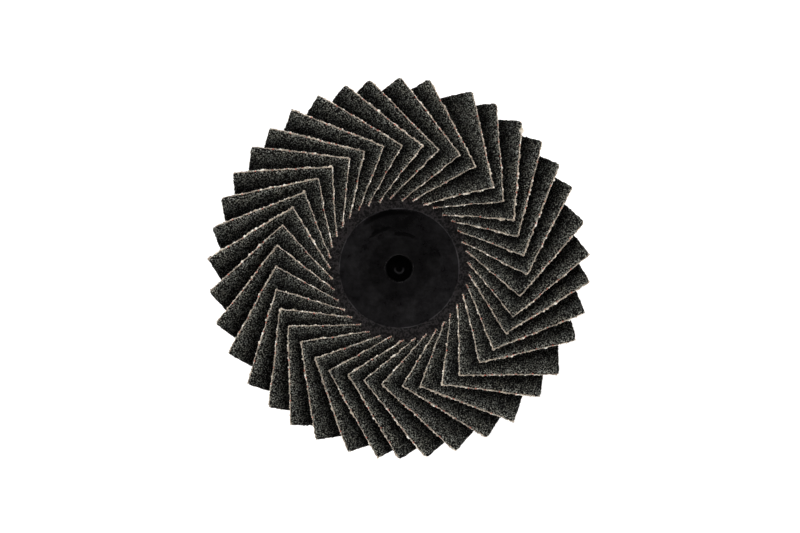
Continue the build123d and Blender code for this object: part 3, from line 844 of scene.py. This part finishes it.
# %% Black glass-filled nylon
FLOW_CLOUD, PEBBLE = 3.5 * MM, 0.38 * MM
PEBBLE_DEPTH, MOUTH_BLEND = 0.1 * MM, 0.1 * MM
nylon_material, tree = new_material("black_glass_filled_nylon")
place = add(tree, "ShaderNodeTexCoord", out="Object")
parts = add(tree, "ShaderNodeSeparateXYZ", {0: place}).node.outputs
flat_place = add(tree, "ShaderNodeCombineXYZ", {"X": parts["X"], "Y": parts["Y"]})
radius = add(tree, "ShaderNodeVectorMath", {0: flat_place}, out="Value", operation="LENGTH")
pebbled = add(tree, "ShaderNodeMapRange", {
    "Value": radius, "From Min": mouth_radius - MOUTH_BLEND, "From Max": mouth_radius + MOUTH_BLEND})
cloud = add(tree, "ShaderNodeTexNoise", {
    "Vector": place, "Scale": 1 / FLOW_CLOUD, "Detail": 6.0, "Roughness": 0.75}, out="Fac")
smooth_colour = add(tree, "ShaderNodeValToRGB", {"Fac": cloud}, stops=[
    (0.34, "#0e0d0e"), (0.68, "#272627"), (0.5, "#1b1a1b")])
spark = add(tree, "ShaderNodeTexNoise", {"Vector": place, "Scale": 1 / PEBBLE, "Detail": 1.0}, out="Fac")
pebble_colour = add(tree, "ShaderNodeValToRGB", {"Fac": spark}, stops=[(0.41, "#020202"), (0.6, "#353132")])
print("pebbles of", PEBBLE / MM, "mm")

# %% [markdown]
# Painted shade and painted dark reflections darken the smooth colour in the recess, most of them on its +Y
# side, where its wall faces away from the light: one soft spot and a few arcs round the axis. The flow clouds
# push the arcs in and out a little, so that they don't look drawn with compasses.

# %% Painted shade in the recess
PAINTED_SHADE_PLACE = Vector((-1.5, 9.6, 0.0)) * MM
PAINTED_SHADE_SHAPE = (0.45, 1.0, 0.0)  # longer along X, and the same at every height
PAINTED_SHADE_CORE, PAINTED_SHADE_REACH, PAINTED_SHADE_LEFT = 1.2 * MM, 3.6 * MM, 0.45  # the last is the share of light left
ARC_STRAY = 2.0 * MM  # from furthest in to furthest out
PAINTED_SHADE_ARCS = (  # radius, half width, middle angle and half span in degrees, and the share of light left
    (11.3 * MM, 0.7 * MM, 101, 36, 0.25),
    (8.5 * MM, 0.5 * MM, 118, 22, 0.3),
    (7.0 * MM, 0.5 * MM, 80, 28, 0.35),
    (7.6 * MM, 1.6 * MM, 18, 20, 0.55),
)
# A soft spot of painted shade near the top of the recess wall.
painted_shade_spot = add(tree, "ShaderNodeVectorMath", {0: place, 1: PAINTED_SHADE_PLACE}, operation="SUBTRACT")
painted_shade_spot = add(tree, "ShaderNodeVectorMath", {0: painted_shade_spot, 1: PAINTED_SHADE_SHAPE}, operation="MULTIPLY")
painted_shade_spot = add(tree, "ShaderNodeVectorMath", {0: painted_shade_spot}, out="Value", operation="LENGTH")
painted_shade_spot = add(tree, "ShaderNodeMapRange", {
    "Value": painted_shade_spot, "From Min": PAINTED_SHADE_CORE, "From Max": PAINTED_SHADE_REACH, "To Min": PAINTED_SHADE_LEFT, "To Max": 1.0},
    interpolation_type="SMOOTHSTEP")
smooth_colour = add(tree, "ShaderNodeVectorMath", {0: smooth_colour, "Scale": painted_shade_spot}, operation="SCALE")
turn = add(tree, "ShaderNodeMath", {0: parts["Y"], 1: parts["X"]}, operation="ARCTAN2")
strayed = add(tree, "ShaderNodeMath", {0: cloud, 1: ARC_STRAY, 2: radius}, operation="MULTIPLY_ADD")
# Arcs of painted shade and painted dark reflection round the axis.
for arc_radius, half_width, middle, half_span, left in PAINTED_SHADE_ARCS:
    off_ring = add(tree, "ShaderNodeMath", {0: strayed, 1: arc_radius + ARC_STRAY / 2}, operation="SUBTRACT")
    off_ring = add(tree, "ShaderNodeMath", {0: off_ring, 1: half_width}, operation="DIVIDE")
    off_turn = add(tree, "ShaderNodeMath", {0: turn, 1: math.radians(middle)}, operation="SUBTRACT")
    off_turn = add(tree, "ShaderNodeMath", {0: off_turn, 1: math.radians(half_span)}, operation="DIVIDE")
    off = add(tree, "ShaderNodeCombineXYZ", {"X": off_ring, "Y": off_turn})
    off = add(tree, "ShaderNodeVectorMath", {0: off}, out="Value", operation="LENGTH")
    arc = add(tree, "ShaderNodeMapRange", {
        "Value": off, "From Min": 0.5, "From Max": 1.0, "To Min": left, "To Max": 1.0},
        interpolation_type="SMOOTHSTEP")
    smooth_colour = add(tree, "ShaderNodeVectorMath", {0: smooth_colour, "Scale": arc}, operation="SCALE")
nylon_colour = add(tree, "ShaderNodeMix", {"Factor": pebbled, 6: smooth_colour, 7: pebble_colour},
                   out=2, data_type="RGBA")
print(len(PAINTED_SHADE_ARCS), "arcs and a spot")

# %% [markdown]
# Two places are paler, with painted highlights. The mouth of the recess has one, in patches along its edge.
# The dimple at the bottom of the core hole has one in an arc on its -Y side.

# %% Painted highlights at the mouth and in the dimple
PAINTED_RIM_CORE, PAINTED_RIM_REACH = 0.05 * MM, 0.16 * MM  # either side of the mouth
ARC_RADIUS, ARC_CORE, ARC_REACH = 0.85 * MM, 0.1 * MM, 0.28 * MM
SIDE_FROM, SIDE_FULL = 0.4 * MM, -0.2 * MM  # Y between which the arc fades in
STUD_END_SKIN = 1.0 * MM  # the stud's end, which the arc keeps out of
# Painted highlight along the mouth of the recess, in patches.
from_mouth = add(tree, "ShaderNodeMath", {0: radius, 1: mouth_radius}, operation="SUBTRACT")
from_mouth = add(tree, "ShaderNodeMath", {0: from_mouth}, operation="ABSOLUTE")
painted_mouth_highlight = add(tree, "ShaderNodeMapRange", {
    "Value": from_mouth, "From Min": PAINTED_RIM_CORE, "From Max": PAINTED_RIM_REACH, "To Min": 1.0, "To Max": 0.0})
patchy = add(tree, "ShaderNodeMapRange", {"Value": cloud, "From Min": 0.42, "From Max": 0.6})
painted_mouth_highlight = add(tree, "ShaderNodeMath", {0: painted_mouth_highlight, 1: patchy}, operation="MULTIPLY")
nylon_colour = add(tree, "ShaderNodeMix", {"Factor": painted_mouth_highlight, 6: nylon_colour, 7: linear("#4a484a")},
                   out=2, data_type="RGBA")
# Painted highlight in an arc on the -Y side of the dimple.
from_arc = add(tree, "ShaderNodeMath", {0: radius, 1: ARC_RADIUS}, operation="SUBTRACT")
from_arc = add(tree, "ShaderNodeMath", {0: from_arc}, operation="ABSOLUTE")
painted_dimple_highlight = add(tree, "ShaderNodeMapRange", {
    "Value": from_arc, "From Min": ARC_CORE, "From Max": ARC_REACH, "To Min": 1.0, "To Max": 0.0})
on_side = add(tree, "ShaderNodeMapRange", {
    "Value": parts["Y"], "From Min": SIDE_FROM, "From Max": SIDE_FULL})
in_hole = add(tree, "ShaderNodeMath", {0: parts["Z"], 1: stud_end + STUD_END_SKIN}, operation="GREATER_THAN")
painted_dimple_highlight = add(tree, "ShaderNodeMath", {0: painted_dimple_highlight, 1: on_side}, operation="MULTIPLY")
painted_dimple_highlight = add(tree, "ShaderNodeMath", {0: painted_dimple_highlight, 1: in_hole}, operation="MULTIPLY")
nylon_colour = add(tree, "ShaderNodeMix", {"Factor": painted_dimple_highlight, 6: nylon_colour, 7: linear("#b8b5b9")},
                   out=2, data_type="RGBA")
print("rubbed at", round(mouth_radius / MM, 2), "mm and burnished at", round(ARC_RADIUS / MM, 2), "mm")

# %% [markdown]
# What is left is the surface itself. The smooth parts have a soft gloss, a little uneven with the flow of the
# glass, and the pebbled ones are matt and rough to the touch.

# %% Gloss and relief
roughness = add(tree, "ShaderNodeMapRange", {"Value": pebbled, "To Min": 0.16, "To Max": 0.6})
uneven = add(tree, "ShaderNodeMapRange", {
    "Value": cloud, "From Min": 0.3, "From Max": 0.7, "To Min": -0.02, "To Max": 0.05})
roughness = add(tree, "ShaderNodeMath", {0: roughness, 1: uneven}, operation="ADD")
bumpy = add(tree, "ShaderNodeMapRange", {"Value": pebbled, "To Min": 0.05, "To Max": 0.6})
relief = add(tree, "ShaderNodeBump", {
    "Height": spark, "Strength": bumpy, "Distance": PEBBLE_DEPTH}, out="Normal")
nylon = add(tree, "ShaderNodeBsdfPrincipled", {
    "Base Color": nylon_colour, "Roughness": roughness, "IOR": 1.53, "Specular IOR Level": 0.22,
    "Normal": relief})
add(tree, "ShaderNodeOutputMaterial", {"Surface": nylon})
print("made", nylon_material.name)

# %% [markdown]
# ## Turning the plate
# The profile is spun in small steps, which makes a smooth round of every coarse facet. Its ends lie on the
# axis, so merging the doubles closes both poles.

# %% Spin the plate
SPIN_STEPS = 160


def turned_mesh(name, profile, steps):
    """Closed mesh of a (radius, height) profile in millimetres, turned round the Z axis."""
    mesh = bmesh.new()
    line = [mesh.verts.new((0, r * MM, z * MM)) for r, z in profile]
    edges = [mesh.edges.new(pair) for pair in zip(line, line[1:])]
    bmesh.ops.spin(mesh, geom=line + edges, cent=(0, 0, 0), axis=(0, 0, 1), angle=math.tau, steps=steps,
                   use_merge=True, use_duplicate=False)
    bmesh.ops.remove_doubles(mesh, verts=mesh.verts, dist=WELD)
    bmesh.ops.recalc_face_normals(mesh, faces=mesh.faces)
    made = bpy.data.meshes.new(name)
    mesh.to_mesh(made)
    mesh.free()
    return made


plate = piece_from(turned_mesh("backing_plate_moulding", profile, SPIN_STEPS), "backing_plate_moulding")
print("plate has", len(plate.data.polygons), "faces")

# %% [markdown]
# The stud carries a coarse right-hand thread of about one and a half turns, so that the disc screws into its
# holder with a twist. A thread follows a helix, so a tree makes it: a spiral curve, swept with a blunt
# profile that shrinks almost to nothing at both ends.

# %% Thread the stud
PITCH, TURNS = 2.4 * MM, 1.5
THREAD_START = 0.8 * MM  # above the stud's end
TOOTH = {"Bottom Width": 1.5 * MM, "Top Width": 0.6 * MM, "Height": 1.7 * MM, "Offset": 0.0}  # half is sunk
RUN_OUT_FROM, RUN_OUT_SIZE = 0.34, 0.12  # share of the length from its middle; share of the tooth left
thread_tree = bpy.data.node_groups.new("coarse_thread", "GeometryNodeTree")
for name in ("Root Radius", "Pitch", "Turns", "Bottom"):
    thread_tree.interface.new_socket(name=name, in_out="INPUT", socket_type="NodeSocketFloat")
thread_tree.interface.new_socket(name="Thread", in_out="OUTPUT", socket_type="NodeSocketGeometry")
tree = thread_tree
given = add(tree, "NodeGroupInput").node.outputs
rise = add(tree, "ShaderNodeMath", {0: given["Pitch"], 1: given["Turns"]}, operation="MULTIPLY")
helix = add(tree, "GeometryNodeCurveSpiral", {
    "Resolution": 64, "Rotations": given["Turns"], "Start Radius": given["Root Radius"],
    "End Radius": given["Root Radius"], "Height": rise, "Reverse": True})
share = add(tree, "GeometryNodeSplineParameter", out="Factor")
from_middle = add(tree, "ShaderNodeMath", {0: share, 1: 0.5}, operation="SUBTRACT")
from_middle = add(tree, "ShaderNodeMath", {0: from_middle}, operation="ABSOLUTE")
swell = add(tree, "ShaderNodeMapRange", {
    "Value": from_middle, "From Min": RUN_OUT_FROM, "From Max": 0.5, "To Min": 1.0, "To Max": RUN_OUT_SIZE},
    interpolation_type="SMOOTHSTEP")
tooth = add(tree, "GeometryNodeCurvePrimitiveQuadrilateral", TOOTH, mode="TRAPEZOID")
tooth = add(tree, "GeometryNodeTransform", {
    "Geometry": tooth, "Rotation": add(tree, "FunctionNodeEulerToRotation", {0: (0, 0, -math.pi / 2)})})
thread = add(tree, "GeometryNodeSetCurveNormal", {"Curve": helix}, mode="Z_UP")
thread = add(tree, "GeometryNodeCurveToMesh", {
    "Curve": thread, "Profile Curve": tooth, "Scale": swell, "Fill Caps": True})
down = add(tree, "ShaderNodeCombineXYZ", {"Z": given["Bottom"]})
thread = add(tree, "GeometryNodeTransform", {"Geometry": thread, "Translation": down})
thread = add(tree, "GeometryNodeRealizeInstances", {"Geometry": thread})
thread = add(tree, "GeometryNodeSetMaterial", {"Geometry": thread, "Material": nylon_material})
add(tree, "NodeGroupOutput", {"Thread": thread})
thread_mesh = grown(thread_tree, "thread", {
    "Root Radius": stud_radius, "Pitch": PITCH, "Turns": TURNS, "Bottom": stud_end + THREAD_START})
print("thread has", len(thread_mesh.polygons), "faces")

# %% [markdown]
# Six round marks in the flat back of the rim are where the moulding tool's ejector pins pushed the plate out.
# Their places and size are read from the frame. They are cut last, after the corners are softened, because a
# mark is as shallow as a corner's radius.

# %% Ejector marks
RIM_FLAT = 25.0 * MM, 31.0 * MM  # a ring well inside the flat part of the rim's back
MARK_DEPTHS = 0.05 * MM, 0.5 * MM  # a mark's floor lies somewhere between
MARK_COUNT, MARK_SIDES = 6, 40


def ejector_marks(node, profile):
    """Cutters for the round marks, read from the vertices that lie just above the flat back of the rim."""
    back = min(z for r, z in profile if r * MM > RIM_FLAT[0]) * MM
    rings = {}
    for point in (v.co for v in node.data.vertices):
        in_ring = RIM_FLAT[0] < plan_radius(point) < RIM_FLAT[1]
        if in_ring and MARK_DEPTHS[0] < point.z - back < MARK_DEPTHS[1]:
            turn = round(math.atan2(point.y, point.x) / math.tau * MARK_COUNT) % MARK_COUNT
            rings.setdefault(turn, []).append(point)
    cutters = bmesh.new()
    for turn, ring in sorted(rings.items()):
        middle = sum(ring, Vector()) / len(ring)
        depth, radius = middle.z - back, (ring[0] - middle).length
        bmesh.ops.create_cone(cutters, cap_ends=True, segments=MARK_SIDES, depth=2 * depth,
                              radius1=radius, radius2=radius,
                              matrix=Matrix.Translation((middle.x, middle.y, back)))
    print("ejector marks:", len(rings), "across", round(2 * radius / MM, 2), "deep", round(depth / MM, 2))
    mesh = bpy.data.meshes.new("ejector_marks")
    cutters.to_mesh(mesh)
    cutters.free()
    return piece_from(mesh, "ejector_marks")


marks = ejector_marks(nodes["backing_plate"], profile)

# %% [markdown]
# An exact Boolean joins the thread to the stud and another cuts the marks. Between them a bevel gives each
# sharp corner the small radius that any moulding has.

# %% Finish the plate
SOFT_RADIUS, SOFT_FROM = 0.15 * MM, math.radians(28)
SHARP_FROM = math.radians(40)  # between two faces, beyond which shading breaks


def combine(piece, other, operation):
    """Runs one exact Boolean on a piece, keeps the result as its mesh and removes the other object."""
    modifier = piece.modifiers.new("combine", "BOOLEAN")
    modifier.operation, modifier.solver, modifier.object = operation, "EXACT", other
    piece.data = evaluated_mesh(piece)
    piece.modifiers.clear()
    bpy.data.objects.remove(other)


combine(plate, piece_from(thread_mesh, "thread"), "UNION")
plate.data.materials.clear()
plate.data.materials.append(nylon_material)
soften = plate.modifiers.new("soft_corners", "BEVEL")
soften.width, soften.segments, soften.limit_method = SOFT_RADIUS, 2, "ANGLE"
soften.angle_limit = SOFT_FROM
plate.data = evaluated_mesh(plate)
plate.modifiers.clear()
combine(plate, marks, "DIFFERENCE")
plate.data.shade_smooth()
plate.data.set_sharp_from_angle(angle=SHARP_FROM)
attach(plate, "root")
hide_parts("backing_plate")
plate.data.calc_loop_triangles()
print("plate finished with", len(plate.data.loop_triangles), "triangles")

# %% [markdown]
# ## Set epoxy
# The flaps are bedded in a ring of filled epoxy. Set, it is a glossy amber brown with fine bubbles and a
# slightly rippled skin. Little of it shows between the cloth and the plate.

# %% Amber epoxy
RESIN_CLOUD, RIPPLE, RIPPLE_DEPTH = 2.5 * MM, 0.8 * MM, 0.12 * MM
resin_material, tree = new_material("filled_amber_epoxy")
place = add(tree, "ShaderNodeTexCoord", out="Object")
cloud = add(tree, "ShaderNodeTexNoise", {"Vector": place, "Scale": 1 / RESIN_CLOUD, "Detail": 4.0}, out="Fac")
resin_colour = add(tree, "ShaderNodeValToRGB", {"Fac": cloud}, stops=[(0.3, "#3a2716"), (0.75, "#6a4826")])
ripple = add(tree, "ShaderNodeTexNoise", {"Vector": place, "Scale": 1 / RIPPLE, "Detail": 3.0}, out="Fac")
relief = add(tree, "ShaderNodeBump", {
    "Height": ripple, "Strength": 0.6, "Distance": RIPPLE_DEPTH}, out="Normal")
epoxy = add(tree, "ShaderNodeBsdfPrincipled", {
    "Base Color": resin_colour, "Roughness": 0.3, "IOR": 1.55, "Normal": relief})
add(tree, "ShaderNodeOutputMaterial", {"Surface": epoxy})
bed_node = nodes["adhesive_bed"]
bed_node.data.materials.clear()
bed_node.data.materials.append(resin_material)
print("bed dressed in", resin_material.name)
